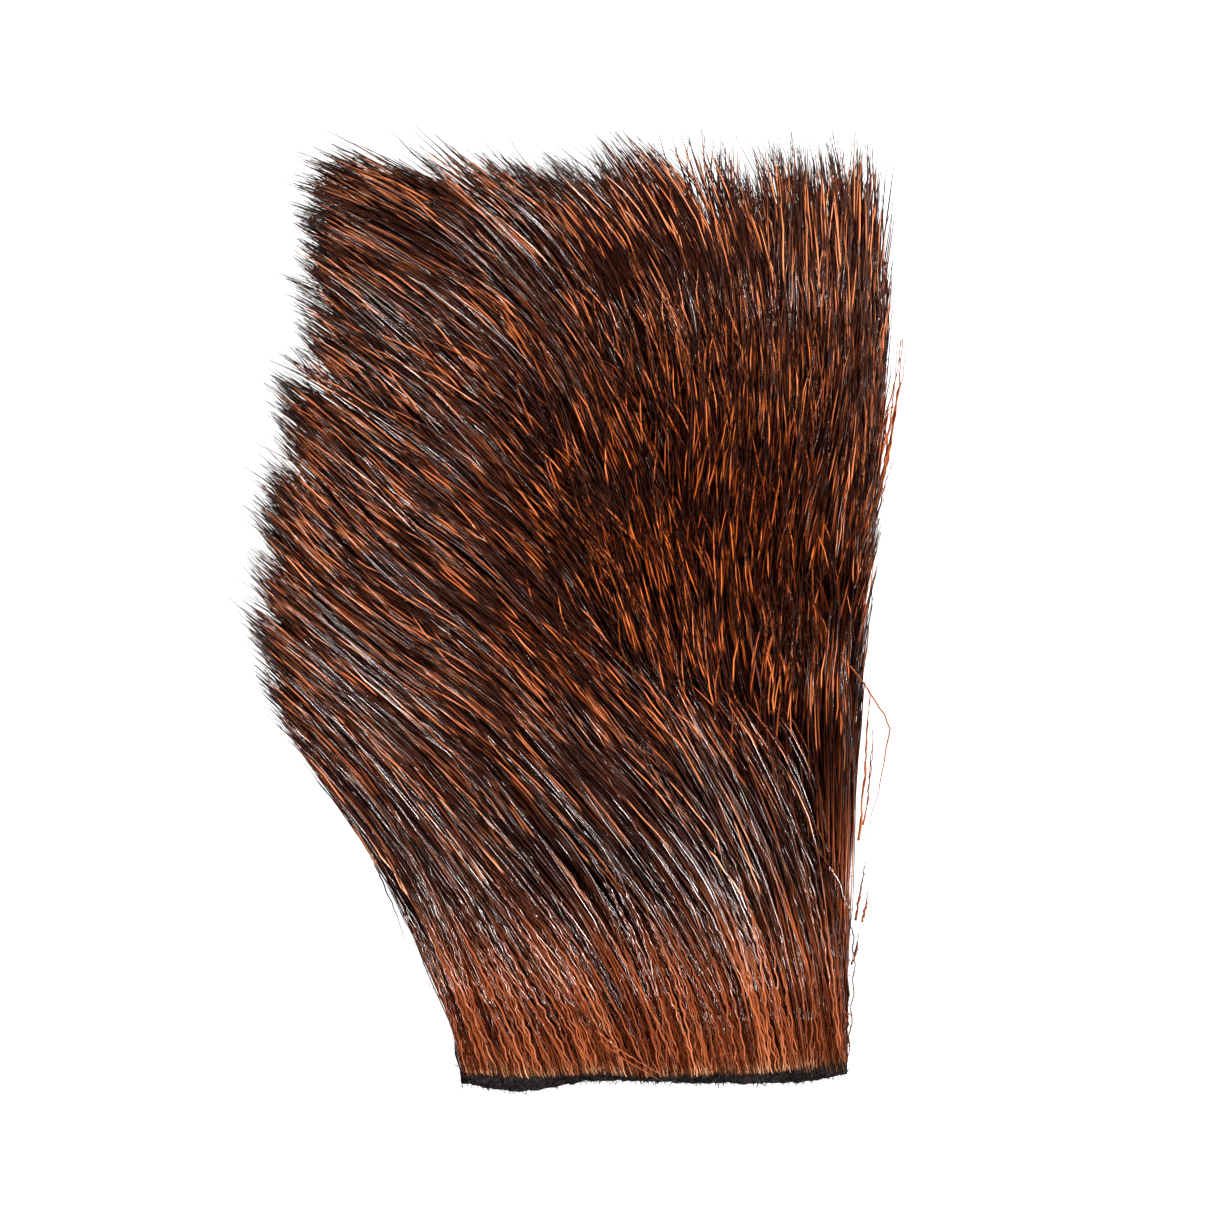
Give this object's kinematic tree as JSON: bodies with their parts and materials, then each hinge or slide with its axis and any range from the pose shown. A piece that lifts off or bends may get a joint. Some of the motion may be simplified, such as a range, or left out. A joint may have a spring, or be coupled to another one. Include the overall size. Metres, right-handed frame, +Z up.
{
  "type": "deer hair patch",
  "caption": "Small hand-cut piece of tanned deer hide that lies flat, with a coat of dyed hair that fans out past two of its edges.",
  "frame": {"origin": "middle of the footprint, at the hide's flat underside", "axes": "+Y from the hide's lower cut edge towards the hair tips, +X towards the straight-cut side, +Z up out of the hair side"},
  "size_m": [0.0714, 0.1084, 0.0136],
  "materials": {
    "hide": "matte suede, dyed black through",
    "hair": "coarse natural hair dyed rust brown, with dark shafts, orange bands and black tips, slightly glossy"
  },
  "bodies": {
    "root": {"hide": "hide", "hair_coat": "hair"}
  },
  "joints": []
}
